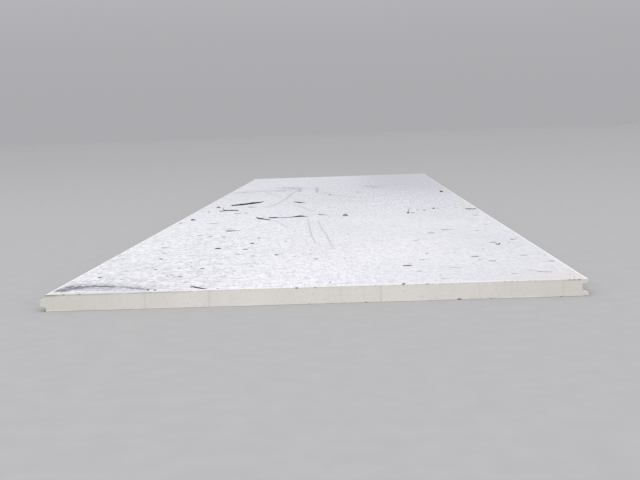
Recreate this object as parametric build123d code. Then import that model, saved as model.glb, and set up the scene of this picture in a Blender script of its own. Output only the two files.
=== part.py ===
from build123d import *
import os
from math import radians, tan

# Fibre cement flooring sheet with a tongue along one long edge and a groove along the other.
# It lies flat on its underside, with its length along Y and its thickness up Z. The tongue
# points to -X and the groove opens to +X. The origin is under the middle of the sheet.

# Sheet, in millimetres. The cover width is what one laid sheet covers, from the shoulders
# above and below the tongue to the lips of the groove.
sheet_length = 2700
cover_width = 600
sheet_thickness = 19

# Tongue, centred in the thickness. Both of its flanks lean in by the flank angle, in degrees.
tongue_reach = 6.4
tongue_root_height = 10
flank_angle = 10
tongue_nose_radius = 1.4
tongue_root_radius = 0.4

# Groove. It is the tongue's own taper, opened up by these two clearances, so that the
# shoulders close on the lips before the nose can touch the groove's floor.
flank_clearance = 0.15
nose_clearance = 0.4
groove_floor_radius = 1.0
groove_mouth_radius = 0.8

# The four long arrises of the slab are eased. The sawn ends are square and sharp.
arris_radius = 1.0

# Where an eased corner would take more than this share of the face beside it, it gets smaller.
largest_share_of_face = 0.45


def eased(radius, face):
    return min(radius, largest_share_of_face * face)


# Places across the sheet, with the whole width, tongue included, centred on the origin.
whole_width = cover_width + tongue_reach
lip_x = whole_width / 2
shoulder_x = lip_x - cover_width
mid_height = sheet_thickness / 2

# Heights of the two tapers, which are parallel when the sheets are pushed together.
flank_slope = tan(radians(flank_angle))
groove_depth = tongue_reach + nose_clearance
groove_mouth_height = tongue_root_height + 2 * flank_clearance
nose_height = tongue_root_height - 2 * tongue_reach * flank_slope
groove_floor_height = groove_mouth_height - 2 * groove_depth * flank_slope
shoulder_height = (sheet_thickness - tongue_root_height) / 2
lip_height = (sheet_thickness - groove_mouth_height) / 2


def taper(wide_x, wide_height, narrow_x, narrow_height, wide_radius, narrow_radius):
    """Corners, from the bottom up, of a form that narrows from wide_x to narrow_x."""
    return [
        ((wide_x, mid_height - wide_height / 2), wide_radius),
        ((narrow_x, mid_height - narrow_height / 2), narrow_radius),
        ((narrow_x, mid_height + narrow_height / 2), narrow_radius),
        ((wide_x, mid_height + wide_height / 2), wide_radius),
    ]


def tongue_corners():
    return taper(
        shoulder_x, tongue_root_height, shoulder_x - tongue_reach, nose_height,
        eased(tongue_root_radius, shoulder_height), eased(tongue_nose_radius, nose_height),
    )


def groove_corners():
    return taper(
        lip_x, groove_mouth_height, lip_x - groove_depth, groove_floor_height,
        eased(groove_mouth_radius, lip_height), eased(groove_floor_radius, groove_floor_height),
    )


def section_corners():
    """The whole section as corners with their radii, anticlockwise from under the tongue."""
    shoulder_arris = eased(arris_radius, shoulder_height)
    lip_arris = eased(arris_radius, lip_height)
    return [
        ((shoulder_x, 0), shoulder_arris),
        ((lip_x, 0), lip_arris),
        *groove_corners(),
        ((lip_x, sheet_thickness), lip_arris),
        ((shoulder_x, sheet_thickness), shoulder_arris),
        *reversed(tongue_corners()),
    ]


# The sheet: its section, drawn across the width, run half the length each way.
points, radii = zip(*section_corners())
with BuildPart() as sheet:
    with BuildSketch(Plane.XZ):
        with BuildLine():
            FilletPolyline(*points, radius=radii, close=True)
        make_face()
    extrude(amount=sheet_length / 2, both=True)

os.makedirs("parts", exist_ok=True)
export_step(sheet.part, "parts/fibre_cement_sheet.step")
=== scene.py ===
import math
import random

import bmesh
import bpy
import numpy as np
from mathutils import Color, Matrix, Vector, noise
from mathutils.geometry import delaunay_2d_cdt, intersect_line_plane


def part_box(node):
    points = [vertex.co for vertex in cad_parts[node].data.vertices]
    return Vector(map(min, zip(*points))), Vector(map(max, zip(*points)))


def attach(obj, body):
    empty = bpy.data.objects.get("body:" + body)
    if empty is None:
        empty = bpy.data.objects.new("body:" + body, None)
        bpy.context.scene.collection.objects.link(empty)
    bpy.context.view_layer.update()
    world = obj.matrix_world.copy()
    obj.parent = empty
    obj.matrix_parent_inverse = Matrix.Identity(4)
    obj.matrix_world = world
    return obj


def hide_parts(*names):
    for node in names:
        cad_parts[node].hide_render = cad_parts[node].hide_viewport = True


# A fibre cement flooring sheet that lies flat. The sheet is one closed mesh with its real section,
# saw marks, chips and pits. On it lie splinters, twigs, flakes and grit.
# Lengths are in metres, in the frame's own axes, unless a comment says millimetres. Pixels are those
# of the photograph, counted across and down from the middle of its first one.

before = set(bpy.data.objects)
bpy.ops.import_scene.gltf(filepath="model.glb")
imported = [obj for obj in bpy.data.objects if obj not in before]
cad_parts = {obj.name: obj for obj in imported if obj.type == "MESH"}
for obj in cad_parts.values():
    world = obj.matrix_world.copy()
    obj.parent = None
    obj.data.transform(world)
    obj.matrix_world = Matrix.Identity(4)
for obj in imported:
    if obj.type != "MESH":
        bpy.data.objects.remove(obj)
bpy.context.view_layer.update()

MM = 0.001
SHEET = "fibre_cement_sheet"
low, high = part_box(SHEET)
TOP_Z = high.z
NEAR_Y = low.y
FAR_Y = high.y

# Section, as the solid has it
TONGUE_REACH = 6.4 * MM
TONGUE_ROOT = 10 * MM
FLANK_SLOPE = math.tan(math.radians(10))
FLANK_CLEARANCE = 0.15 * MM
NOSE_CLEARANCE = 0.4 * MM
NOSE_RADIUS = 1.4 * MM
ROOT_RADIUS = 0.4 * MM
FLOOR_RADIUS = 1.0 * MM
MOUTH_RADIUS = 0.8 * MM
ARRIS_RADIUS = 1.0 * MM
SHOULDER_X = low.x + TONGUE_REACH
LIP_X = high.x
MID_Z = (low.z + high.z) / 2
FACE_MIDDLE = (SHOULDER_X + LIP_X) / 2
FACE_HALF = (LIP_X - SHOULDER_X) / 2

# The photograph's camera, worked out from the edges of the sheet. Its place is measured from the
# near corner of the top face on the tongue side.
PHOTO_MIDDLE = (319.5, 239.5)
PHOTO_WIDTH = 640
PHOTO_FOCAL = 1085
CAMERA_PLACE = Vector((SHOULDER_X + 0.3447, NEAR_Y - 1.1829, TOP_Z + 0.1738))
CAMERA_YAW = math.radians(-2.11)
CAMERA_PITCH = math.radians(14.88)
CAMERA_ROLL = math.radians(-2.03)
RAISED_AIM = math.radians(9)


def camera_axes(raised=0.0):
    """Right, up and forward of the photograph's camera, tipped up by an angle in radians."""
    sine, cosine, run = math.sin(CAMERA_YAW), math.cos(CAMERA_YAW), math.cos(CAMERA_PITCH)
    forward = Vector((sine * run, cosine * run, -math.sin(CAMERA_PITCH)))
    level = Vector((cosine, -sine, 0))
    turn = Matrix.Rotation(-CAMERA_ROLL, 3, forward)
    right = turn @ level
    up = turn @ level.cross(forward)
    tip = Matrix.Rotation(raised, 3, right)
    return right, tip @ up, tip @ forward


def on_top(pixel):
    """The point of the top face that shows at a pixel of the photograph."""
    right, up, forward = camera_axes()
    aside, down = pixel[0] - PHOTO_MIDDLE[0], pixel[1] - PHOTO_MIDDLE[1]
    ray = forward * PHOTO_FOCAL + right * aside - up * down
    return intersect_line_plane(CAMERA_PLACE, CAMERA_PLACE + ray, Vector((0, 0, TOP_Z)), Vector((0, 0, 1)))


# Values that the meshes carry for their materials: how soiled a point is, and where it lies in its
# own piece of wood, along the grain, across it and up
SOILING = "soiling"
GRAIN = "grain"


# Node materials

def fill(tree, node, inputs):
    """Links sockets to a node's inputs, or sets plain values on them."""
    for name, value in inputs.items():
        if isinstance(value, bpy.types.NodeSocket):
            tree.links.new(value, node.inputs[name])
        else:
            node.inputs[name].default_value = value


def add(tree, kind, inputs=None, output=0, **settings):
    """Adds a node with its settings and inputs, and returns one of its outputs."""
    node = tree.nodes.new(kind)
    for name, value in settings.items():
        setattr(node, name, value)
    fill(tree, node, inputs or {})
    return node.outputs[output]


def maths(tree, operation, first, second=0.0):
    return add(tree, "ShaderNodeMath", {0: first, 1: second}, operation=operation)


def product(tree, first, *others):
    for other in others:
        first = maths(tree, "MULTIPLY", first, other)
    return first


def spread(tree, value, start, end, least=0.0, most=1.0):
    """Maps start to end onto least to most smoothly, and holds the ends."""
    inputs = {"Value": value, "From Min": start, "From Max": end, "To Min": least, "To Max": most}
    return add(tree, "ShaderNodeMapRange", inputs, interpolation_type="SMOOTHSTEP")


def blend(tree, factor, first, second):
    """The first colour at factor 0 and the second at 1, held beyond them. The node has its colours at
    inputs 6 and 7 and output 2."""
    return add(tree, "ShaderNodeMix", {0: factor, 6: first, 7: second}, 2, data_type="RGBA")


def tint(tree, shade, tone, *masks):
    """A shade turned towards a tone as far as the masks multiplied together say."""
    return blend(tree, product(tree, *masks), shade, tone)


def coordinate(tree, axis):
    """How far along X, Y or Z the shaded point lies, in metres."""
    place = add(tree, "ShaderNodeTexCoord", output="Object")
    return add(tree, "ShaderNodeSeparateXYZ", {0: place}, axis)


def away_from(tree, axis, middle):
    """How far the shaded point is along an axis, either way, from a place on it."""
    return maths(tree, "ABSOLUTE", maths(tree, "SUBTRACT", coordinate(tree, axis), middle))


def cloud(tree, scale, detail=4.0, roughness=0.5, distortion=0.0, stretch=(1, 1, 1), grained=False):
    """Noise from about 0 to 1, with scale in patches per metre. It runs with the piece's own grain
    where it has one, and otherwise with the frame."""
    if grained:
        place = add(tree, "ShaderNodeAttribute", output="Vector", attribute_name=GRAIN)
    else:
        place = add(tree, "ShaderNodeTexCoord", output="Object")
    inputs = {
        "Vector": add(tree, "ShaderNodeMapping", {"Vector": place, "Scale": stretch}), "Scale": scale,
        "Detail": detail, "Roughness": roughness, "Distortion": distortion,
    }
    return add(tree, "ShaderNodeTexNoise", inputs)


def patchy(scale, detail, least, most, **grain):
    """A function that builds the nodes of a roughness in soft patches, from least to most."""
    return lambda tree: spread(tree, cloud(tree, scale, detail, **grain), 0.3, 0.7, least, most)


def new_material(name, colour, roughness, height, reach, specular=0.4):
    """A rough solid surface. colour, roughness and height are functions that build their nodes, and
    reach is how deep the bump goes."""
    material = bpy.data.materials.new(name)
    material.use_nodes = True
    tree = material.node_tree
    fill(tree, tree.nodes["Principled BSDF"], {
        "Specular IOR Level": specular, "Base Color": colour(tree), "Roughness": roughness(tree),
        "Normal": add(tree, "ShaderNodeBump", {"Height": height(tree), "Distance": reach}),
    })
    return material


def rgb(red, green, blue):
    """A colour given as it looks on a screen, from 0 to 255, as the linear one that shaders take."""
    return (*Color((red / 255, green / 255, blue / 255)).from_srgb_to_scene_linear(), 1)


def speckled(tree, shade, detail, specks, *masks):
    """Specks of noise. Each kind has its scale, where it starts and is full, its share and its tone."""
    for scale, start, end, share, tone in specks:
        speck = spread(tree, cloud(tree, scale, detail, 0.6), start, end)
        shade = tint(tree, shade, tone, speck, *masks, share)
    return shade


# The top face's finish, layer over layer. aside and ahead are the shaded point's X and Y.

def painted_falloff(tree, shade, aside, ahead):
    """A paler stretch on the tongue side, and streaky painted shade towards the groove and the far end."""
    paler = spread(tree, away_from(tree, "Y", NEAR_Y + 0.75), 0.75, 0.3, 0, 0.6)
    by_tongue = spread(tree, aside, FACE_MIDDLE, FACE_MIDDLE - 0.4 * FACE_HALF)
    shade = tint(tree, shade, rgb(247, 250, 255), paler, by_tongue)
    # Painted shade: darker towards the groove side, midway along away from the tongue, and towards the far
    # end.
    by_groove = spread(tree, aside, FACE_MIDDLE, LIP_X - 0.04, 0, 0.52)
    off_tongue = spread(tree, aside, SHOULDER_X + 0.12, SHOULDER_X + 0.34)
    midway = product(tree, spread(tree, ahead, NEAR_Y + 0.15, NEAR_Y + 0.45, 0, 0.32), off_tongue)
    painted_shade = maths(tree, "MAXIMUM", by_groove, midway)
    painted_shade = maths(tree, "ADD", painted_shade, spread(tree, ahead, NEAR_Y + 0.6, NEAR_Y + 1.7, 0, 0.48))
    streaks = spread(tree, cloud(tree, 210, 4, 0.65, stretch=(1, 0.08, 1)), 0.3, 0.7, -1, 1)
    streaks = product(tree, streaks, spread(tree, ahead, NEAR_Y + 0.5, NEAR_Y + 1.3, 0.25, 0.7))
    streaky = maths(tree, "ADD", streaks, 1)
    shade = tint(tree, shade, rgb(205, 207, 214), painted_shade, streaky)
    # More painted shade at the far corner on the groove side.
    far = spread(tree, ahead, NEAR_Y + 1.3, NEAR_Y + 2.2, 0, 1.35)
    near_groove = spread(tree, aside, FACE_MIDDLE, LIP_X - 0.1)
    return tint(tree, shade, rgb(190, 192, 199), far, near_groove, streaky)


def flecked(tree, shade, aside, ahead):
    """Grey flecks of four sizes, fine streaks along the sheet, and grime by the near end's tongue side."""
    dirtier = spread(tree, aside, FACE_MIDDLE + 0.5 * FACE_HALF, SHOULDER_X, 1.05, 1.22)
    shade = speckled(tree, shade, 3, (
        (60, 0.48, 0.7, 0.45, rgb(211, 212, 217)),
        (140, 0.5, 0.68, 0.75, rgb(201, 202, 208)),
        (330, 0.54, 0.7, 0.9, rgb(186, 187, 193)),
        (900, 0.6, 0.72, 0.6, rgb(165, 166, 172)),
    ), dirtier)
    sanded = spread(tree, cloud(tree, 330, 3, 0.55, stretch=(1, 0.12, 1)), 0.5, 0.68)
    streaked = spread(tree, aside, FACE_MIDDLE, LIP_X - 0.1, 0.6, 0.15)
    shade = tint(tree, shade, rgb(199, 200, 207), sanded, streaked)
    grime = spread(tree, cloud(tree, 190, 4, 0.65, stretch=(0.5, 1, 1)), 0.5, 0.66, 0, 0.95)
    near = spread(tree, ahead, NEAR_Y + 1.6, NEAR_Y + 0.2)
    by_tongue = spread(tree, aside, FACE_MIDDLE, FACE_MIDDLE - 0.6 * FACE_HALF)
    return tint(tree, shade, rgb(176, 177, 184), grime, near, by_tongue)


def rimmed(tree, shade, aside, ahead):
    """Cream by the sawn ends, a little darker at the two near corners, and a painted highlight along the
    long arrises.
    """
    by_end = spread(tree, away_from(tree, "Y", 0), FAR_Y - 13 * MM, FAR_Y - 3 * MM)
    shade = tint(tree, shade, rgb(241, 238, 230), by_end, 0.5)
    near_rim = spread(tree, ahead, NEAR_Y + 14 * MM, NEAR_Y + 6 * MM, 0, 0.62)
    by_tongue = spread(tree, aside, SHOULDER_X + 0.18, SHOULDER_X + 0.06)
    shade = tint(tree, shade, rgb(206, 204, 196), near_rim, by_tongue)
    near_corner = spread(tree, ahead, NEAR_Y + 0.12, NEAR_Y, 0, 0.6)
    by_groove = spread(tree, aside, LIP_X - 0.14, LIP_X - 0.01)
    shade = tint(tree, shade, rgb(217, 211, 206), near_corner, by_groove)
    # A painted highlight along the long arrises.
    edge_highlight = spread(tree, away_from(tree, "X", FACE_MIDDLE), FACE_HALF - 3 * MM, FACE_HALF - MM)
    return tint(tree, shade, rgb(250, 250, 250), edge_highlight, 0.8)


def smeared(tree, shade):
    """Dark where things were dragged, broken into scratches and blotches."""
    soiled = add(tree, "ShaderNodeAttribute", output="Fac", attribute_name=SOILING)
    scratchy = spread(tree, cloud(tree, 260, 4, 0.65, 0.7, (0.12, 1, 1)), 0.32, 0.66, 0.5, 1.3)
    blotchy = spread(tree, cloud(tree, 200, 3, 0.6, 1.0, (1, 0.5, 1)), 0.38, 0.6, 0.65, 1.35)
    return tint(tree, shade, rgb(103, 105, 118), soiled, scratchy, blotchy)


def top_face_material():
    """The smooth white face, with a fine grain."""
    def colour(tree):
        aside, ahead = coordinate(tree, "X"), coordinate(tree, "Y")
        broad = spread(tree, cloud(tree, 4, 3), 0.35, 0.65)
        shade = blend(tree, broad, rgb(237, 238, 244), rgb(245, 245, 249))
        for layer in (painted_falloff, flecked, rimmed):
            shade = layer(tree, shade, aside, ahead)
        return smeared(tree, shade)

    def height(tree):
        grain = product(tree, cloud(tree, 900, 4, 0.6), 0.5)
        return maths(tree, "ADD", grain, cloud(tree, 160, 3))

    return new_material("fibre_cement_top", colour, patchy(60, 4, 0.55, 0.75), height, 0.12 * MM)


def underside_material():
    """The back of the sheet, greyer, with the faint weave that the felt left."""
    def colour(tree):
        broad = spread(tree, cloud(tree, 9, 4), 0.35, 0.65)
        shade = blend(tree, broad, rgb(196, 194, 188), rgb(208, 206, 201))
        return speckled(tree, shade, 3, [(240, 0.52, 0.7, 0.5, rgb(176, 174, 168))])

    def height(tree):
        warp = cloud(tree, 700, 1, stretch=(1, 0.25, 1))
        weft = cloud(tree, 700, 1, stretch=(0.25, 1, 1))
        return product(tree, warp, weft)

    return new_material("fibre_cement_underside", colour, patchy(80, 3, 0.75, 0.9), height, 0.3 * MM)


# Faint upright lines that the saw left on the end, each at a pixel of its upper arris, and how dark
SAW_LINES = [
    ((50, 123.5), 0.18), ((142.9, 120.7), 0.25), ((207.5, 118.8), 0.28), ((341, 114.7), 0.12),
    ((363.5, 114), 0.16), ((380.5, 113.5), 0.28), ((512, 109.6), 0.1), ((564.2, 108), 0.32),
]


def cut_shade(tree, stretch, pale, dark):
    """The tone of a cut face: faint streaks along the blade's path, and fine grain."""
    band = spread(tree, cloud(tree, 26, 4, 0.6, stretch=stretch), 0.25, 0.75)
    return speckled(tree, blend(tree, band, dark, pale), 2, (
        (300, 0.5, 0.7, 0.3, rgb(190, 187, 180)),
        (1300, 0.58, 0.75, 0.46, rgb(158, 154, 146)),
    ))


def cut_material(name, colour, stretch):
    def height(tree):
        scratches = cloud(tree, 500, 3, 0.6, stretch=stretch)
        return maths(tree, "ADD", scratches, product(tree, cloud(tree, 1800, 3, 0.6), 0.5))

    return new_material(name, colour, patchy(200, 3, 0.8, 0.95), height, 0.15 * MM, 0.25)


def sawn_end_material():
    """The sawn ends: a smooth warm grey, rubbed pale along the bottom. Near the corners it is a little
    darker, with a thin broken dark line below the upper arris that is partly dirt and partly painted
    shadow."""
    stretch = (1, 1, 0.08)

    def colour(tree):
        aside, up = coordinate(tree, "X"), coordinate(tree, "Z")
        shade = cut_shade(tree, stretch, rgb(224, 222, 219), rgb(218, 216, 213))
        for pixel, share in SAW_LINES:
            line = spread(tree, away_from(tree, "X", on_top(pixel).x), 2.0 * MM, 0.4 * MM)
            shade = tint(tree, shade, rgb(184, 181, 174), line, share)
        by_corner = spread(tree, away_from(tree, "X", FACE_MIDDLE), FACE_HALF - 190 * MM, FACE_HALF)
        shade = tint(tree, shade, rgb(201, 198, 192), by_corner, 0.55)
        rubbed = spread(tree, up, low.z + 2.6 * MM, low.z + 1.6 * MM)
        patches = spread(tree, cloud(tree, 12, 3), 0.45, 0.7)
        shade = tint(tree, shade, rgb(240, 237, 232), rubbed, patches, 0.4)
        # A thin broken dark line below the upper arris, strongest near the corners: partly dirt, partly
        # painted shadow under the arris.
        rim = spread(tree, up, TOP_Z - 2.8 * MM, TOP_Z - 0.9 * MM)
        broken = spread(tree, cloud(tree, 45, 4, 0.7), 0.3, 0.6, 0.4)
        by_tongue = spread(tree, aside, SHOULDER_X + 190 * MM, SHOULDER_X + 120 * MM, 0.12, 0.36)
        at_corner = spread(tree, aside, SHOULDER_X + 26 * MM, SHOULDER_X + 6 * MM, 0, 0.5)
        by_groove = spread(tree, away_from(tree, "X", LIP_X - 16 * MM), 14 * MM, 7 * MM, 0, 0.35)
        soiled = maths(tree, "ADD", maths(tree, "ADD", by_tongue, at_corner), by_groove)
        return tint(tree, shade, rgb(140, 136, 128), rim, broken, soiled)

    return cut_material("fibre_cement_sawn_end", colour, stretch)


def machined_material():
    """The long edges, planed to the tongue and the groove. The groove is almost white, the tongue side is
    painted darker as painted shade, and both upper arrises carry a white painted highlight."""
    stretch = (1, 0.05, 1)

    def colour(tree):
        clean = cut_shade(tree, stretch, rgb(229, 228, 225), rgb(220, 218, 214))
        # The tongue side in a darker copy of the same tone: painted shade.
        tongue_shaded = cut_shade(tree, stretch, rgb(206, 203, 197), rgb(196, 193, 186))
        by_tongue = spread(tree, coordinate(tree, "X"), FACE_MIDDLE, SHOULDER_X)
        shade = blend(tree, by_tongue, clean, tongue_shaded)
        line = spread(tree, cloud(tree, 70, 1, stretch=stretch), 0.7, 0.76)
        shade = tint(tree, shade, rgb(198, 196, 190), line, 0.35)
        # A painted highlight along the upper arrises.
        arris_highlight = spread(tree, coordinate(tree, "Z"), TOP_Z - 2.4 * MM, TOP_Z - 1.0 * MM)
        return tint(tree, shade, rgb(252, 252, 250), arris_highlight)

    return cut_material("fibre_cement_machined", colour, stretch)


def fracture_material():
    """The rough inside of a chip or a pit, dark partly with dirt and partly with painted shade in the
    hollow.
    """
    def colour(tree):
        # Dark tones: partly dirt, partly painted shade inside the hollow.
        grain = spread(tree, cloud(tree, 700, 4, 0.6), 0.35, 0.65)
        return blend(tree, grain, rgb(112, 108, 104), rgb(164, 160, 153))

    def height(tree):
        return cloud(tree, 1200, 5, 0.7)

    return new_material("fibre_cement_fracture", colour, patchy(300, 2, 0.9, 1.0), height, 0.4 * MM, 0.2)


def debris_material(name, dark, pale, scale=420, grained=True):
    """Weathered wood, bark or grit, in two tones that run with the grain."""
    grain = {"stretch": (0.12, 1, 1) if grained else (1, 1, 1), "grained": grained}

    def colour(tree):
        fibres = spread(tree, cloud(tree, scale, 5, 0.65, 0.3, **grain), 0.35, 0.65)
        return blend(tree, fibres, dark, pale)

    def height(tree):
        return cloud(tree, scale * 2, 4, 0.65, **grain)

    return new_material(name, colour, patchy(scale, 2, 0.75, 0.95, **grain), height, 0.4 * MM, 0.25)


# Marks on the top face, each a stroke through pixels with its half width at the start and at the
# end, in millimetres, and how dark it is
STROKES = [
    ([(307.2, 45.5), (309, 55), (310.7, 62), (315.5, 72.5)], 1.6, 1.5, 0.34),
    ([(316.5, 46), (320.7, 54.9), (324.5, 60.2), (327.5, 65.5), (335.5, 79.5)], 1.9, 1.3, 0.3),
    ([(299, 15.2), (290.6, 20.3), (283.5, 26.2), (271.5, 32.2), (261.5, 34.7)], 3.5, 4.5, 0.33),
    ([(299.1, 13.9), (298.4, 18.1)], 5, 5, 0.5),
    ([(229, 19.7), (241, 18.7), (253, 17.5), (263, 18.1)], 45, 40, 0.22),
    ([(261.7, 17), (271.7, 20.5), (282.7, 25)], 6, 4, 0.2),
    ([(271, 17.4), (277, 16.9), (285, 16)], 45, 40, 0.34),
    ([(279.5, 13.1), (288.5, 13.9), (298.5, 15.5)], 40, 32, 0.32),
    ([(315.6, 12.7), (316, 15.2), (317, 19.2)], 6, 5, 0.4),
    ([(317.5, 17.4), (329.3, 20.2), (344.3, 22.2), (364.3, 24.2)], 8, 8, 0.22),
    ([(366.5, 11), (371.5, 12.6), (377.5, 14.6)], 17, 14, 0.24),
    ([(364, 10.6), (372, 12), (382, 13.2)], 45, 40, 0.12),
    ([(295.5, 31.4), (305.5, 35.4), (315.5, 38.9)], 5, 4, 0.22),
    ([(272.5, 47.3), (280.5, 51.3), (287.5, 55.3)], 4, 3, 0.22),
    ([(58.3, 118.5), (68.3, 116.3), (78.3, 115.1), (92.3, 114.7), (110.3, 115.3), (130.3, 117),
      (146.3, 118.3)], 29, 20, 0.46),
    ([(60.3, 119.5), (72.3, 118.9), (88.3, 118.6), (104.3, 118.7), (118.3, 118.9)], 9, 6, 0.34),
    ([(53.3, 120.6), (57.3, 119.3), (62.3, 118.4), (68.3, 117.8), (76.3, 117.1)], 13, 9, 1.2),
    ([(63.3, 116.9), (68.3, 116.5), (73.3, 116.2), (78.3, 115.9), (84.3, 115.5),
      (92.3, 115.2)], 13, 8, 2.6),
    ([(80.5, 115.5), (86.5, 115.2), (92.5, 114.9), (98.5, 114.8), (106.5, 114.9),
      (116.5, 115.3)], 6.5, 5, 1.8),
    ([(112, 115.1), (118, 115.3), (124, 115.9), (130, 116.7), (136, 117.2), (142, 117.7),
      (148, 118.6)], 6, 7, 0.85),
]


CURVE_PIECES = 8


def along_stroke(pixels):
    """A smooth line on the top face through the pixels, as an array of points."""
    stops = [on_top(pixel) for pixel in pixels]
    stops = [2 * stops[0] - stops[1], *stops, 2 * stops[-1] - stops[-2]]
    line = []
    for a, b, c, d in zip(stops, stops[1:], stops[2:], stops[3:]):
        for piece in range(CURVE_PIECES):
            t = piece / CURVE_PIECES
            bend = (2 * a - 5 * b + 4 * c - d) * t ** 2 + (3 * b - a - 3 * c + d) * t ** 3
            line.append((2 * b + (c - a) * t + bend) / 2)
    return np.array([point[:2] for point in [*line, stops[-2]]])


def to_line(points, line, reach):
    """For each point, its distance to the line and how far along the line it lies, from 0 to 1.
    Points further than reach from the line's own box are left at an endless distance."""
    nearest = np.full(len(points), np.inf)
    share = np.zeros(len(points))
    close = np.flatnonzero(np.all((points > line.min(0) - reach) & (points < line.max(0) + reach), axis=1))
    for index, (start, end) in enumerate(zip(line, line[1:])):
        run = end - start
        away = points[close] - start
        t = np.clip(away @ run / max(run @ run, 1e-12), 0, 1)
        distance = np.hypot(*(away - t[:, None] * run).T)
        better = distance < nearest[close]
        nearest[close[better]] = distance[better]
        share[close[better]] = (index + t[better]) / (len(line) - 1)
    return nearest, share


# Each mark's line on the face, its two half widths and how dark it is
marks = [(along_stroke(pixels), first * MM, last * MM, dark) for pixels, first, last, dark in STROKES]

# How far from the sides and from the near end the face stays clean, and over how far soiling fades in
SIDE_CLEAN = 1.5 * MM
SIDE_FADE = 3 * MM
END_CLEAN = 4 * MM
END_FADE = 10 * MM


def noise_at(points, size, seed, stretch=(1, 1, 1)):
    """Smooth noise from about -1 to 1 at each point, in patches of that size."""
    shift = Vector((seed * 7.31, seed * 3.17, seed * 5.71))
    return np.array([noise.noise(Vector(place) / size + shift) for place in points * stretch])


def soiling_at(points):
    """How soiled the top face is at each point, from 0 to 1. A mark fades in over the first sixth of
    its length and out over the last, and is broken up by noise."""
    flat = points[:, :2]
    soiled = np.zeros(len(points))
    for line, first, last, dark in marks:
        distance, share = to_line(flat, line, 2.5 * max(first, last))
        half = first + (last - first) * share
        fade = np.clip(np.minimum(share, 1 - share) * 6, 0, 1) ** 0.5
        soiled = np.maximum(soiled, dark * fade * np.exp(-(distance / half) ** 2))
    from_side = np.minimum(points[:, 0] - SHOULDER_X, LIP_X - points[:, 0])
    soiled *= np.clip((from_side - SIDE_CLEAN) / SIDE_FADE, 0, 1)
    soiled *= np.clip((points[:, 1] - NEAR_Y - END_CLEAN) / END_FADE, 0, 1)
    marked = np.flatnonzero((soiled > 0.01) & (points[:, 2] > TOP_Z - 0.5 * MM))
    broken = 0.95 + 0.5 * noise_at(points[marked], 6 * MM, 3) + 0.4 * noise_at(points[marked], 1.5 * MM, 4)
    result = np.zeros(len(points))
    result[marked] = np.clip(soiled[marked] * broken, 0, 1)
    return result


# The sheet's own mesh

ARC_STEPS = 4
EDGE_STEP = 2.2 * MM
SAWN_ARRIS = 0.35 * MM
END_GRID = 2.3 * MM
FLAT_MARGIN = 1.2 * MM
LARGEST_CELL = 24 * MM
QUARTERS = ((-1, -1), (1, -1), (-1, 1), (1, 1))
SMOOTH_ANGLE = math.radians(40)

# How far apart points lie at the sawn ends and, at most, in the middle of the top and the underside
FINE = 3 * MM
TOP_COARSE = 13 * MM
UNDER_COARSE = 25 * MM

# How far the noisy surfaces are set back, so that they stay inside the solid, and soiled places more
SET_BACK = 0.08 * MM
SOILED_BACK = 0.06 * MM

# The materials' places in the sheet's list
TOP, UNDER, SAWN, MACHINED, FRACTURE = range(5)


def graded(start, end, fine, coarse, growth):
    """Places from start to end, fine apart at both ends and coarse apart in the middle."""
    half, step, steps = (end - start) / 2, fine, []
    while sum(steps) + step < half:
        steps.append(step)
        step = min(step * growth, coarse)
    near = start + np.cumsum([0, *steps]) * half / sum(steps)
    return near.tolist() + (start + end - near[-2::-1]).tolist()


def rounded_path(corners):
    """Points along straight runs and arcs through corners of (x, z, radius), at most EDGE_STEP apart."""
    points = []
    for index, (x, z, radius) in enumerate(corners):
        here = Vector((x, z))
        bend = [here]
        if radius:
            before = (Vector(corners[index - 1][:2]) - here).normalized()
            after = (Vector(corners[index + 1][:2]) - here).normalized()
            half = before.angle(after) / 2
            centre = here + (before + after).normalized() * radius / math.sin(half)
            first = here + before * radius / math.tan(half) - centre
            last = here + after * radius / math.tan(half) - centre
            turn = math.atan2(first.x * last.y - first.y * last.x, first.dot(last))
            steps = range(ARC_STEPS + 1)
            bend = [centre + Matrix.Rotation(turn * step / ARC_STEPS, 2) @ first for step in steps]
        if points:
            from_here, pieces = points[-1], math.ceil((bend[0] - points[-1]).length / EDGE_STEP)
            points += [from_here.lerp(bend[0], piece / pieces) for piece in range(1, pieces)]
        points += bend
    return [(point.x, point.y) for point in points]


def taper(wide_x, wide_height, reach, wide_radius, narrow_radius):
    """Corners, from the bottom up, of the tongue or the groove, which both narrow towards -X."""
    narrow_height = wide_height - 2 * reach * FLANK_SLOPE
    return [
        (wide_x, MID_Z - wide_height / 2, wide_radius),
        (wide_x - reach, MID_Z - narrow_height / 2, narrow_radius),
        (wide_x - reach, MID_Z + narrow_height / 2, narrow_radius),
        (wide_x, MID_Z + wide_height / 2, wide_radius),
    ]


FACE_LEFT = SHOULDER_X + 2 * ARRIS_RADIUS
FACE_RIGHT = LIP_X - 2 * ARRIS_RADIUS
groove_corners = taper(
    LIP_X, TONGUE_ROOT + 2 * FLANK_CLEARANCE, TONGUE_REACH + NOSE_CLEARANCE, MOUTH_RADIUS, FLOOR_RADIUS
)
tongue_corners = taper(SHOULDER_X, TONGUE_ROOT, TONGUE_REACH, ROOT_RADIUS, NOSE_RADIUS)
groove_side = rounded_path([
    (FACE_RIGHT, low.z, 0), (LIP_X, low.z, ARRIS_RADIUS), *groove_corners,
    (LIP_X, TOP_Z, ARRIS_RADIUS), (FACE_RIGHT, TOP_Z, 0),
])
tongue_side = rounded_path([
    (FACE_LEFT, TOP_Z, 0), (SHOULDER_X, TOP_Z, ARRIS_RADIUS), *reversed(tongue_corners),
    (SHOULDER_X, low.z, ARRIS_RADIUS), (FACE_LEFT, low.z, 0),
])
across = graded(FACE_LEFT, FACE_RIGHT, 2.0 * MM, 3.0 * MM, 1.05)
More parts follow.
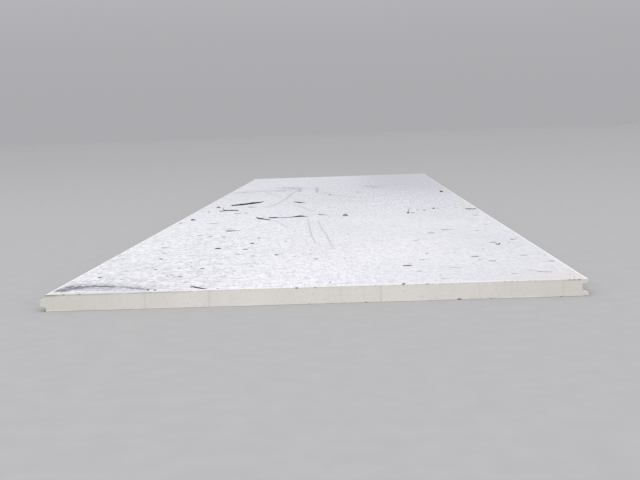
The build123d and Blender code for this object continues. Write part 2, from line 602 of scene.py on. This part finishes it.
along = graded(NEAR_Y + SAWN_ARRIS, FAR_Y - SAWN_ARRIS, 1.5 * MM, 14 * MM, 1.08)
section = (
    groove_side + [(x, TOP_Z) for x in across[-2:0:-1]] + tongue_side + [(x, low.z) for x in across[1:-1]]
)


def leaf_centres(x0, x1, y0, y1, root, wanted):
    """Middles of the cells that a rectangle is divided into until none is larger than wanted there."""
    columns, rows = math.ceil((x1 - x0) / root), math.ceil((y1 - y0) / root)
    wide, deep = (x1 - x0) / columns, (y1 - y0) / rows
    xs, ys = np.meshgrid(x0 + wide * (np.arange(columns) + 0.5), y0 + deep * (np.arange(rows) + 0.5))
    middles, kept = np.stack([xs.ravel(), ys.ravel()], 1), []
    cell = np.array([wide, deep])
    chance = np.random.default_rng(5)
    while len(middles):
        large = cell.max() > wanted(middles)
        leaves = middles[~large]
        kept.append(leaves + chance.uniform(-0.2, 0.2, leaves.shape) * cell)
        cell = cell / 2
        middles = np.concatenate([middles[large] + cell / 2 * quarter for quarter in QUARTERS])
    return np.concatenate(kept)


def from_ends(points):
    return np.minimum(points[:, 1] - NEAR_Y, FAR_Y - points[:, 1])


def top_spacing(points):
    """How far apart the top face's points may lie: close at the sawn ends and along the marks."""
    wanted = np.minimum(TOP_COARSE, FINE + 0.25 * from_ends(points))
    for line, first, last, _ in marks:
        distance, _ = to_line(points, line, 40 * MM)
        past = np.maximum(distance - max(first, last), 0)
        wanted = np.minimum(wanted, 0.6 * min(first, last) + 0.4 * past)
    return wanted


def under_spacing(points):
    from_side = np.minimum(points[:, 0] - FACE_LEFT, FACE_RIGHT - points[:, 0])
    return np.minimum(UNDER_COARSE, FINE + 0.35 * np.minimum(from_ends(points), from_side + 25 * MM))


def inside(points, loop, clear):
    """The points that lie inside a closed loop, clear of its corners."""
    loop = np.array(loop)
    x, y = points[:, 0][:, None], points[:, 1][:, None]
    x0, y0 = loop[:, 0], loop[:, 1]
    x1, y1 = np.roll(x0, -1), np.roll(y0, -1)
    with np.errstate(divide="ignore", invalid="ignore"):
        cut = x0 + (y - y0) * (x1 - x0) / (y1 - y0)
    odd = np.count_nonzero(((y0 > y) != (y1 > y)) & (x < cut), axis=1) % 2 == 1
    return points[odd & (np.hypot(x - x0, y - y0).min(axis=1) > clear)]


class Shell:
    """Vertices and faces of a mesh, patch by patch, with the material of each face."""

    def __init__(self):
        self.vertices = []
        self.faces = []
        self.materials = []

    def grid(self, rows, material, closed=False):
        """Quads between rows of points, which join end to end where they are closed."""
        start, width = len(self.vertices), len(rows[0])
        for row in rows:
            self.vertices += row
        for r in range(len(rows) - 1):
            for c in range(width if closed else width - 1):
                a, b = start + r * width + c, start + r * width + (c + 1) % width
                self.faces.append((a, b, b + width, a + width))
                self.materials.append(material)

    def flat(self, loop, inner, place, material):
        """Triangles between a closed loop and the points inside it, put in place by a function."""
        points = [Vector(point) for point in [*loop, *inner]]
        made, _, faces, *_ = delaunay_2d_cdt(points, [], [list(range(len(loop)))], 1, 1e-7)
        start = len(self.vertices)
        self.vertices += [place(point) for point in made]
        self.faces += [tuple(start + corner for corner in face) for face in faces]
        self.materials += [material] * len(faces)

    def mesh(self, name):
        data = bpy.data.meshes.new(name)
        data.from_pydata(self.vertices, [], self.faces)
        data.polygons.foreach_set("material_index", self.materials)
        return data


def inset(loop, depth):
    """A closed loop moved inwards. It runs anticlockwise."""
    moved = []
    for index, (x, z) in enumerate(loop):
        before, after = Vector(loop[index - 1]), Vector(loop[(index + 1) % len(loop)])
        run = (after - before).normalized()
        moved.append((x - run.y * depth, z + run.x * depth))
    return moved


def sheet_shell():
    shell = Shell()
    left, right, near, far = across[0], across[-1], along[0], along[-1]
    face_loop = (
        [(x, near) for x in across] + [(right, y) for y in along[1:-1]]
        + [(x, far) for x in reversed(across)] + [(left, y) for y in along[-2:0:-1]]
    )
    gap = FLAT_MARGIN
    for z, spacing, material in ((TOP_Z, top_spacing, TOP), (low.z, under_spacing, UNDER)):
        inner = leaf_centres(left + gap, right - gap, near + gap, far - gap, LARGEST_CELL, spacing)
        shell.flat(face_loop, inner, lambda point, z=z: (point.x, point.y, z), material)
    for side in (groove_side, tongue_side):
        shell.grid([[(x, y, z) for x, z in side] for y in along], MACHINED)
    sawn = inset(section, SAWN_ARRIS)
    even = leaf_centres(low.x, high.x, low.z, high.z, END_GRID, lambda points: np.ones(len(points)))
    inner = inside(even, sawn, 1.1 * MM)
    for end_y, arris_y in ((NEAR_Y, near), (FAR_Y, far)):
        outer = [(x, arris_y, z) for x, z in section]
        shell.grid([outer, [(x, end_y, z) for x, z in sawn]], SAWN, closed=True)
        shell.flat(sawn, inner, lambda point, y=end_y: (point.x, y, point.y), SAWN)
    return shell


def put(name, data, *materials):
    piece = bpy.data.objects.new(name, data)
    bpy.context.scene.collection.objects.link(piece)
    for material in materials:
        data.materials.append(material)
    return piece


def roughen(data):
    """Gives the flat faces slight waves, the sawn ends saw marks and the edges chatter."""
    bm = bmesh.new()
    bm.from_mesh(data)
    bmesh.ops.remove_doubles(bm, verts=bm.verts, dist=1e-6)
    bmesh.ops.recalc_face_normals(bm, faces=bm.faces)
    bm.normal_update()
    places = np.array([v.co[:] for v in bm.verts])
    normals = np.array([v.normal[:] for v in bm.verts])
    faces_up, faces_end, faces_side = normals[:, 2] ** 2, normals[:, 1] ** 2, normals[:, 0] ** 2
    waves = 0.1 * MM * noise_at(places, 0.16, 11) + 0.03 * MM * noise_at(places, 0.02, 12)
    saw = 0.05 * MM * noise_at(places, 9 * MM, 13, (1, 1, 0.1))
    saw += 0.05 * MM * noise_at(places, 2.5 * MM, 14, (1, 1, 0.12))
    chatter = 0.06 * MM * noise_at(places, 0.03, 15) + 0.03 * MM * noise_at(places, 4 * MM, 16)
    push = waves * faces_up + saw * faces_end + chatter * faces_side - SET_BACK
    push -= SOILED_BACK * soiling_at(places)
    for vertex, place, normal, amount in zip(bm.verts, places, normals, push):
        vertex.co = Vector(place) + Vector(normal) * amount
    bm.to_mesh(data)
    bm.free()


# Chips that the photograph shows along the near end's upper arris: where each starts and ends across
# it, how far down it is, and how deep it is in millimetres
NEAR_CHIPS = [
    (401.5, 404.9, 112.9, 1), (294.2, 297.4, 116.6, 1.6), (312.6, 316.2, 115.4, 0.8),
    (426.2, 429.4, 112.3, 1), (512.4, 514.2, 109.8, 0.6), (517.4, 519.2, 109.6, 0.6),
    (571, 573.6, 108.6, 0.9), (575.8, 578.2, 108.6, 1.1), (580.6, 583.8, 108.5, 0.9),
    (60, 63.4, 123.4, 1.2), (75.6, 78.8, 122.8, 1.1),
]

# Scattered chips: for the arrises of an end, their height, how many chips and the largest half size,
# and for those along the sheet, where they lie and how many chips
END_CHIPS = [(TOP_Z, 24, 0.8 * MM), (low.z, 44, 3 * MM)]
SIDE_CHIPS = [
    (SHOULDER_X, TOP_Z, 46), (SHOULDER_X, low.z, 30), (LIP_X, TOP_Z, 46), (LIP_X, low.z, 30),
    (low.x, MID_Z + 3.2 * MM, 26), (LIP_X, MID_Z + 4.9 * MM, 16), (LIP_X, MID_Z - 4.9 * MM, 16),
]
END_PITS = 50
TOP_PITS = 170

# A lump's surface lies within this many times its largest half size of its middle
LUMP_REACH = 1.5


def add_rock(bm, place, sizes, chance, detail=2):
    """A closed lump with a broken surface, its half sizes given along X, Y and Z."""
    made = bmesh.ops.create_icosphere(bm, subdivisions=detail, radius=1)["verts"]
    shift = Vector([chance.uniform(0, 99) for _ in range(3)])
    angle = chance.uniform(0, math.tau)
    turn = Matrix.Rotation(angle, 3, Vector((chance.gauss(0, 1), 1, chance.gauss(0, 1))))
    for vertex in made:
        rough = turn @ vertex.co * (1 + 0.35 * noise.noise(vertex.co * 1.3 + shift))
        vertex.co = place + Vector(a * b for a, b in zip(rough, sizes))


def chips_and_pits():
    """The lumps to cut out of the sheet. One that would touch another is left out."""
    chance = random.Random(41)
    bm = bmesh.new()
    taken = []

    def cut(place, sizes, detail=2):
        reach = max(sizes) * LUMP_REACH
        if all((place - other).length > reach + far for other, far in taken):
            taken.append((place, reach))
            add_rock(bm, place, sizes, chance, detail)

    for start, end, height, depth in NEAR_CHIPS:
        a, b = on_top((start, height)), on_top((end, height))
        cut(Vector(((a.x + b.x) / 2, NEAR_Y, TOP_Z)), ((b - a).length / 2, 1.3 * depth * MM, depth * MM))
    for end_y in (NEAR_Y, FAR_Y):
        for z, count, largest in END_CHIPS:
            for _ in range(count):
                half = min(0.45 * MM * chance.lognormvariate(0, 0.6), largest)
                sizes = (half * chance.uniform(1, 1.8), half * 0.8, half * chance.uniform(0.5, 1))
                cut(Vector((chance.uniform(SHOULDER_X, LIP_X), end_y, z)), sizes)
        for _ in range(END_PITS):
            half = chance.uniform(0.15, 0.4) * MM
            aside = chance.uniform(FACE_LEFT, FACE_RIGHT - 8 * MM)
            place = Vector((aside, end_y, chance.uniform(low.z + MM, TOP_Z - MM)))
            cut(place, (half, half * 0.7, half * chance.uniform(0.6, 1)), 1)
    for x, z, count in SIDE_CHIPS:
        for _ in range(count):
            half = min(0.8 * MM * chance.lognormvariate(0, 0.6), 4 * MM)
            sizes = (half * 0.7, half * chance.uniform(1, 2.2), half * 0.6)
            cut(Vector((x, chance.uniform(NEAR_Y, FAR_Y), z)), sizes)
    for _ in range(TOP_PITS):
        half = chance.uniform(0.4, 1.3) * MM
        place = Vector((chance.uniform(FACE_LEFT, FACE_RIGHT), chance.uniform(NEAR_Y, FAR_Y), TOP_Z))
        cut(place, (half, half * chance.uniform(0.7, 1.4), half * 0.35), 1)
    return bm


def cut_out(piece, bm):
    """Cuts the lumps out of the piece. The cut faces get its fracture material."""
    data = bpy.data.meshes.new("cutter")
    bm.to_mesh(data)
    bm.free()
    cutter = put("cutter", data, piece.data.materials[FRACTURE])
    modifier = piece.modifiers.new("chips", "BOOLEAN")
    modifier.operation = "DIFFERENCE"
    modifier.solver = "MANIFOLD"
    modifier.material_mode = "TRANSFER"
    modifier.object = cutter
    made = bpy.data.meshes.new_from_object(piece.evaluated_get(bpy.context.evaluated_depsgraph_get()))
    piece.modifiers.clear()
    piece.data = made
    bpy.data.objects.remove(cutter)


def make_sheet():
    data = sheet_shell().mesh(SHEET + "_surface")
    roughen(data)
    piece = put(
        SHEET + "_surface", data, top_face_material(), underside_material(),
        sawn_end_material(), machined_material(), fracture_material(),
    )
    cut_out(piece, chips_and_pits())
    data = piece.data
    data.shade_smooth()
    data.set_sharp_from_angle(angle=SMOOTH_ANGLE)
    soiling = data.attributes.new(SOILING, "FLOAT", "POINT")
    places = np.array([v.co[:] for v in data.vertices])
    soiling.data.foreach_set("value", soiling_at(places).astype(np.float32))
    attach(piece, "root")
    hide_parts(SHEET)


# Slivers on the top face: how far the start and the end curl up, and the stops that each runs through,
# with how far across and down the photograph a stop is and how wide and high the sliver is there.
# Sizes are in millimetres.
SLIVERS = {
    "dark_wood": [
        (0, 2.5, [(230, 32.5, 6, 2), (237.3, 31.9, 8.4, 2.6), (245.2, 31, 9.6, 3),
                  (252, 30.1, 9.6, 3.3), (256.5, 29.5, 6, 2), (259.3, 29.1, 3.6, 1.2),
                  (261.9, 28.8, 1.8, 0.7)]),
        (0, 1.5, [(267.9, 45.1, 4.8, 1.8), (274, 45, 6, 1.9), (278, 44.9, 3, 0.8),
                  (286.5, 44.6, 3, 0.7), (292.5, 44.1, 4.8, 1.2), (297.5, 43.7, 6, 2.1),
                  (301, 43.5, 5.4, 1.9), (303.5, 43.7, 3, 0.7), (307.5, 44, 1.5, 0.3)]),
        (2.6, 0, [(255.3, 45.8, 2, 1.2), (258, 46, 4, 1.8), (261.3, 46.3, 4, 1.9), (263.3, 46.5, 2, 1)]),
        (0, 0, [(292.9, 28.5, 2.5, 0.6), (295.5, 28.8, 5, 1.5), (299.5, 29.3, 6.2, 1.9),
                (302, 29.3, 3.8, 1), (304.9, 29.4, 1.5, 0.4)]),
        (0, 0, [(188.9, 115.8, 1.7, 0.4), (191.3, 115.3, 3.4, 0.8), (195.7, 116.2, 3.9, 0.9),
                (200.7, 117.1, 3.4, 0.8), (202.7, 117.3, 2.9, 0.6), (205.7, 117.2, 1.2, 0.3)]),
        (0, 0, [(491.1, 70.1, 1.4, 0.4), (494.5, 70, 2.2, 0.7), (498.3, 70, 1.8, 0.5)]),
        (0, 1.2, [(497.1, 71.4, 1.5, 0.4), (499.4, 72.2, 2.8, 0.8), (501.6, 71.5, 1.5, 0.6)]),
    ],
    "red_bark": [
        (0, 0, [(260.5, 46.2, 3, 0.8), (263.5, 46.6, 5, 1.7), (267, 47, 5, 1.5), (270.3, 47.2, 2, 0.6)]),
        (0, 0, [(403.2, 93.9, 2, 0.5), (405.5, 94, 4, 1), (409.5, 94, 4, 1.1), (412.4, 93.9, 2, 0.4)]),
    ],
    "grey_straw": [
        (0, 0, [(318.1, 41.4, 4, 1.1), (320.8, 41.8, 5, 1.4), (323.8, 41.9, 3, 0.8), (326.9, 42, 2, 0.5)]),
        (0, 0, [(225.2, 58.3, 6, 1.1), (228.2, 58.7, 10.5, 1.8), (230.8, 58.3, 6, 1.1),
                (234.8, 58.2, 4.5, 0.8), (239.3, 58.1, 2.3, 0.5)]),
        (0.8, 1.2, [(467.3, 35.8, 3.6, 1.1), (471, 35.9, 6, 1.7), (474.5, 36, 6, 1.6),
                    (476.5, 35.8, 3.6, 1.1), (478.5, 35.6, 1.8, 0.6)]),
        (0, 0, [(443.2, 57, 2, 0.5), (445.8, 57.3, 4, 0.7), (450.2, 56.9, 2, 0.4), (454.9, 56.9, 1, 0.3)]),
        (0, 0, [(537.5, 99.2, 1.3, 0.2), (542.5, 100, 2.6, 0.4), (548.5, 100.2, 2.6, 0.4),
                (554.5, 100, 1.3, 0.2)]),
        (0, 0, [(474, 42.1, 1.5, 0.3), (478, 42.2, 2.5, 0.6), (482, 42.1, 1, 0.3)]),
    ],
    "pale_straw": [
        (0, 0, [(527.5, 97.2, 1.6, 0.15), (532.5, 98, 2.4, 0.2), (538.5, 99.2, 1.6, 0.15)]),
        (0, 0, [(246.3, 33.9, 3, 0.9), (249.5, 34.1, 5, 1.5), (255.5, 33.8, 3, 1)]),
        (0, 0, [(207.7, 50.9, 4.5, 0.9), (211.5, 51.1, 7.5, 1.5), (216.1, 50.9, 3, 0.8)]),
        (0, 0, [(232.2, 40.5, 3, 0.7), (236.2, 40.8, 5, 1.2), (239.7, 40.6, 2, 0.6)]),
        (0, 0, [(447.7, 96.1, 1, 0.4), (451.5, 96, 1.8, 0.5), (456.5, 95.5, 1.8, 0.5),
                (463.1, 95.9, 1, 0.4)]),
        (0, 0, [(412.5, 68.6, 2, 0.3), (416.5, 68.5, 2.5, 0.6), (420.5, 66.4, 1.5, 0.2),
                (429.1, 66.1, 1.5, 0.2)]),
        (0, 0, [(159.5, 75.6, 3.9, 1), (163.5, 75.8, 5.2, 1.2), (167.9, 75.7, 2.6, 0.8)]),
    ],
    "twig": [
        (0, 0, [(217.7, 38.4, 1.3, 1.3), (220.8, 38.1, 1.6, 1.6), (223.4, 37.7, 2.2, 2.2),
                (228.2, 37.6, 1.9, 1.9), (232.2, 37.4, 1.6, 1.6), (236.4, 37.6, 1.9, 1.9)]),
        (4.5, 0, [(220.9, 37, 1, 1), (222.3, 37.3, 1.3, 1.3), (223.9, 37.6, 1.5, 1.5)]),
        (0, 0, [(408.7, 39.5, 1.1, 0.9), (409.5, 37.3, 0.8, 0.7), (410.5, 34.7, 0.6, 0.6)]),
    ],
}

# Flakes of one kind and size: their depth and height in millimetres, and for each where it starts and
# ends across the photograph and how far down it is
FLAKES = [
    ("dark_wood", 9, 2.4, [(441.6, 444.8, 17.9)]),
    ("dark_wood", 5, 2, [(188.4, 193.2, 47.4)]),
    ("dark_wood", 5, 1.4, [(214.1, 218.3, 34.3), (433.5, 436.5, 35.2), (407.3, 410.9, 39.9)]),
    ("dark_wood", 4.8, 0.9, [
        (205.4, 207.8, 38.9), (145.7, 147.5, 118.8), (273.3, 277.7, 83), (249.1, 253.1, 71.4),
        (212.5, 219.9, 76.5),
    ]),
    ("dark_wood", 3.6, 0.6, [
        (95.5, 99.9, 106.1), (156.7, 161.3, 87.2), (356.3, 358.9, 18.2), (152.2, 154.8, 118.8),
        (437.7, 439.7, 35.1), (176.7, 179.5, 50.4), (401.8, 405.6, 112.2),
    ]),
    ("grey_straw", 7, 3.4, [(342.7, 348.1, 42.9)]),
    ("grey_straw", 5, 1.4, [(328.3, 330.7, 21.4)]),
    ("grey_straw", 5.4, 0.9, [
        (241.2, 247.3, 77.3), (220.3, 224.3, 64.6), (242.4, 246.1, 40), (424.5, 427.1, 36.9),
        (512.1, 515.7, 67.1), (411.5, 416.5, 39.8), (417.5, 420.1, 36.9), (198.7, 203.3, 97.1),
        (255.8, 259.4, 65.9),
    ]),
    ("grey_straw", 3.4, 0.45, [
        (175.3, 181.1, 105), (515.7, 518.9, 66.9), (163.9, 166.7, 104.2), (425.9, 428.9, 81.4),
        (187.3, 191.7, 95.1), (167.9, 171.3, 103.2), (489.1, 497.7, 89.1), (470.5, 481.9, 84.6),
        (283.3, 286.7, 69.1), (215.5, 217.7, 117.1), (150.9, 155.7, 98.1), (234.1, 239.5, 82.2),
    ]),
    ("pale_straw", 6, 0.9, [
        (194.9, 201.1, 63.3), (428.6, 435.2, 60.4), (159.9, 163.7, 81.1), (328.3, 330.7, 111),
        (548.8, 557.8, 89.4), (249.1, 254.5, 84.1), (204.9, 210.7, 64.2), (176.1, 179.1, 96.8),
        (313.1, 318.5, 87.1),
    ]),
    ("pale_straw", 4, 0.5, [
        (252.3, 255.1, 91.6), (478.1, 483.5, 87.9), (415.7, 423.1, 99.7), (439.9, 450.3, 106.8),
        (521.5, 530.1, 83.3), (211.1, 214.1, 96.6), (485.3, 490.7, 51.6), (418.1, 430.5, 87.9),
        (511.5, 519.3, 102.2), (292.5, 294.9, 85), (278.1, 282.9, 82),
    ]),
]
SCATTERED_GRIT = 420
SCATTERED_FLAKES = 120
CLEAR_OF_EDGE = 4 * MM
SUNK = 0.15 * MM


def new_debris():
    bm = bmesh.new()
    bm.verts.layers.float_vector.new(GRAIN)
    return bm


def add_vertex(bm, place, grain):
    vertex = bm.verts.new(place)
    vertex[bm.verts.layers.float_vector[GRAIN]] = grain
    return vertex


# Sections of split and of round wood, from -1 to 1 across and from 0 to 1 up
SPLIT = ((-1, 0), (-0.85, 0.45), (-0.25, 0.95), (0.4, 1), (0.9, 0.5), (1, 0))
ROUND = [(math.cos(math.tau * k / 9), 0.5 + 0.5 * math.sin(math.tau * k / 9)) for k in range(9)]


def add_sliver(bm, start_curl, end_curl, stops, outline, chance):
    """A closed length of wood that lies along its stops, with its ends curled up."""
    line = along_stroke([stop[:2] for stop in stops])
    at = np.arange(len(line)) / CURVE_PIECES
    widths, heights = (np.interp(at, range(len(stops)), [stop[k] * MM for stop in stops]) for k in (2, 3))
    share = at / at[-1]
    curls = (start_curl * (1 - share) ** 5 + end_curl * share ** 5) * MM
    far_along = chance.uniform(0, 9)
    rows = []
    for here, run, width, height, curl in zip(line, np.gradient(line, axis=0), widths, heights, curls):
        side = Vector((-run[1], run[0], 0)).normalized()
        half, tall = width / 2 * chance.uniform(0.85, 1.15), height * chance.uniform(0.85, 1.15)
        far_along += math.hypot(*run)
        rows.append([
            add_vertex(
                bm, Vector((*here, TOP_Z - SUNK + curl)) + side * half * across + Vector((0, 0, tall * up)),
                (far_along, half * across, tall * up),
            )
            for across, up in outline
        ])
    for first, second in zip(rows, rows[1:]):
        for index in range(len(first)):
            following = (index + 1) % len(first)
            bm.faces.new((first[index], first[following], second[following], second[index]))
    bm.faces.new(rows[0][::-1])
    bm.faces.new(rows[-1])


def add_flake(bm, middle, length, width, thick, heading, chance):
    """A thin flake with a broken outline, thickest and a little domed near its middle."""
    corners = chance.randint(8, 12)
    turn = Matrix.Rotation(heading, 3, "Z")
    own = Vector((chance.uniform(0, 9), 0, 0))
    lower, upper = [], []
    for corner in range(corners):
        angle = math.tau * (corner + chance.uniform(-0.3, 0.3)) / corners
        out = chance.uniform(0.75, 1.1)
        rim = Vector((math.cos(angle) * length / 2 * out, math.sin(angle) * width / 2 * out, 0))
        up = Vector((0, 0, thick * chance.uniform(0.4, 1)))
        lower.append(add_vertex(bm, middle + turn @ rim - Vector((0, 0, SUNK)), own + rim))
        upper.append(add_vertex(bm, middle + turn @ (rim * 0.85) + up, own + rim * 0.85 + up))
    rise = Vector((0, 0, thick * chance.uniform(1, 1.5)))
    crown = add_vertex(bm, middle + rise, own + rise)
    for corner in range(corners):
        following = (corner + 1) % corners
        bm.faces.new((lower[corner], lower[following], upper[following], upper[corner]))
        bm.faces.new((upper[corner], upper[following], crown))
    bm.faces.new(lower[::-1])


def finish_debris(name, bm, material):
    bmesh.ops.recalc_face_normals(bm, faces=bm.faces)
    data = bpy.data.meshes.new(name)
    bm.to_mesh(data)
    bm.free()
    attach(put(name, data, material), "root")


def lay_debris(materials, chance):
    """The splinters, twigs and flakes that the photograph shows, each kind as one piece."""
    for kind, material in materials.items():
        bm = new_debris()
        for sliver in SLIVERS[kind]:
            add_sliver(bm, *sliver, ROUND if kind == "twig" else SPLIT, chance)
        for flake_kind, depth, thick, flakes in FLAKES:
            for start, end, level in flakes if flake_kind == kind else []:
                a, b = on_top((start, level)), on_top((end, level))
                size = ((b - a).length, depth * MM * chance.uniform(0.8, 1.2), thick * MM)
                add_flake(bm, (a + b) / 2, *size, chance.uniform(-0.2, 0.2), chance)
        finish_debris(kind, bm, material)


def scatter_flakes(material, chance):
    """Small flakes all over the face, more of them towards the tongue."""
    left, right = FACE_LEFT + CLEAR_OF_EDGE, FACE_RIGHT - CLEAR_OF_EDGE
    bm = new_debris()
    for _ in range(SCATTERED_FLAKES):
        aside = chance.triangular(left, right, FACE_LEFT + 0.15)
        place = Vector((aside, chance.uniform(NEAR_Y + CLEAR_OF_EDGE, FAR_Y - CLEAR_OF_EDGE), TOP_Z))
        length = min(2.2 * MM * chance.lognormvariate(0, 0.5), 8 * MM)
        width = length * chance.uniform(0.3, 0.7)
        add_flake(bm, place, length, width, 0.12 * length, chance.uniform(0, math.pi), chance)
    finish_debris("scattered_flakes", bm, material)


def scatter_grit(chance):
    bm = bmesh.new()
    for _ in range(SCATTERED_GRIT):
        aside = chance.uniform(FACE_LEFT, FACE_RIGHT - CLEAR_OF_EDGE)
        place = Vector((aside, chance.uniform(NEAR_Y + CLEAR_OF_EDGE, FAR_Y - CLEAR_OF_EDGE), TOP_Z))
        half = min(0.35 * MM * chance.lognormvariate(0, 0.5), 1.5 * MM)
        add_rock(bm, place + Vector((0, 0, 0.4 * half)), (half, half, half * 0.7), chance, 1)
    finish_debris("grit", bm, debris_material("grit", rgb(84, 82, 84), rgb(142, 140, 140), 900, False))


def make_debris():
    chance = random.Random(17)
    dark_wood = debris_material("weathered_wood", rgb(18, 15, 17), rgb(48, 42, 43))
    pale_straw = debris_material("pale_straw", rgb(150, 151, 155), rgb(190, 191, 195))
    materials = {
        "dark_wood": dark_wood,
        "red_bark": debris_material("red_bark", rgb(92, 60, 56), rgb(150, 106, 98)),
        "grey_straw": debris_material("grey_straw", rgb(98, 98, 99), rgb(148, 148, 148)),
        "pale_straw": pale_straw,
        "twig": dark_wood,
    }
    lay_debris(materials, chance)
    scatter_flakes(pale_straw, chance)
    scatter_grit(chance)


# Stage, light and camera

HORIZON_LIGHT = 0.43
ZENITH_LIGHT = 0.84
FLOOR_REACH = 60
FLOOR_FADE = (8.0, 40.0)


def make_floor():
    """A pale floor that turns clear far away, where the horizon has its tone."""
    data = bpy.data.meshes.new("floor")
    data.from_pydata([(FLOOR_REACH * x, FLOOR_REACH * y, 0) for x, y in QUARTERS], [], [(0, 1, 3, 2)])
    material = bpy.data.materials.new("studio_floor")
    material.use_nodes = True
    tree = material.node_tree
    shader = tree.nodes["Principled BSDF"]
    tone = spread(tree, cloud(tree, 40, 3), 0.2, 0.8)
    shade = blend(tree, tone, rgb(176, 176, 177), rgb(180, 180, 181))
    fill(tree, shader, {"Base Color": shade, "Roughness": 0.9, "Specular IOR Level": 0.1})
    place = add(tree, "ShaderNodeTexCoord", output="Object")
    away = add(tree, "ShaderNodeVectorMath", {0: place}, output="Value", operation="LENGTH")
    clear = add(tree, "ShaderNodeBsdfTransparent")
    gone = spread(tree, away, *FLOOR_FADE)
    mix = add(tree, "ShaderNodeMixShader", {0: gone, 1: shader.outputs[0], 2: clear})
    fill(tree, tree.nodes["Material Output"], {"Surface": mix})
    put("floor", data, material)


def make_world():
    """Soft daylight from all round. Towards the horizon it falls to the tone of the floor."""
    world = bpy.data.worlds.new("studio")
    world.use_nodes = True
    tree = world.node_tree
    tree.nodes.clear()
    towards = add(tree, "ShaderNodeTexCoord", output="Generated")
    height = add(tree, "ShaderNodeSeparateXYZ", {0: towards}, output="Z")
    strength = spread(tree, height, 0.02, 0.5, HORIZON_LIGHT, ZENITH_LIGHT)
    sky = add(tree, "ShaderNodeBackground", {"Color": rgb(250, 250, 255), "Strength": strength})
    fill(tree, tree.nodes.new("ShaderNodeOutputWorld"), {"Surface": sky})
    bpy.context.scene.world = world


def make_light(name, kind, towards, power, colour, place=(0, 0, 0), **settings):
    """A light that shines from a direction, itself out of sight."""
    data = bpy.data.lights.new(name, kind)
    for setting, value in {"energy": power, "color": colour[:3], **settings}.items():
        setattr(data, setting, value)
    light = put(name, data)
    light.location = place
    light.rotation_euler = Vector(towards).to_track_quat("Z", "Y").to_euler()
    light.visible_camera = False


def make_camera():
    data = bpy.data.cameras.new("camera")
    data.sensor_width = 36
    data.lens = data.sensor_width * PHOTO_FOCAL / PHOTO_WIDTH
    data.clip_start, data.clip_end = 0.05, 200
    camera = put("camera", data)
    right, up, forward = camera_axes(RAISED_AIM)
    turned = Matrix((right, up, -forward)).transposed().to_4x4()
    camera.matrix_world = Matrix.Translation(CAMERA_PLACE) @ turned
    bpy.context.scene.camera = camera


make_camera()
make_world()
make_floor()
make_light("key", "SUN", (-0.3, -0.85, 0.43), 0.86, rgb(255, 250, 240), angle=math.radians(40))
make_light("fill", "SUN", (0.88, -0.35, 0.32), 0.65, rgb(255, 251, 244), angle=math.radians(50))
above = Vector((-1.2, -2.6, 5.0))
make_light("softbox", "AREA", above - Vector((0, NEAR_Y, 0)), 60, rgb(255, 252, 246), above, size=3)
make_sheet()
make_debris()
bpy.context.scene.view_settings.view_transform = "Standard"
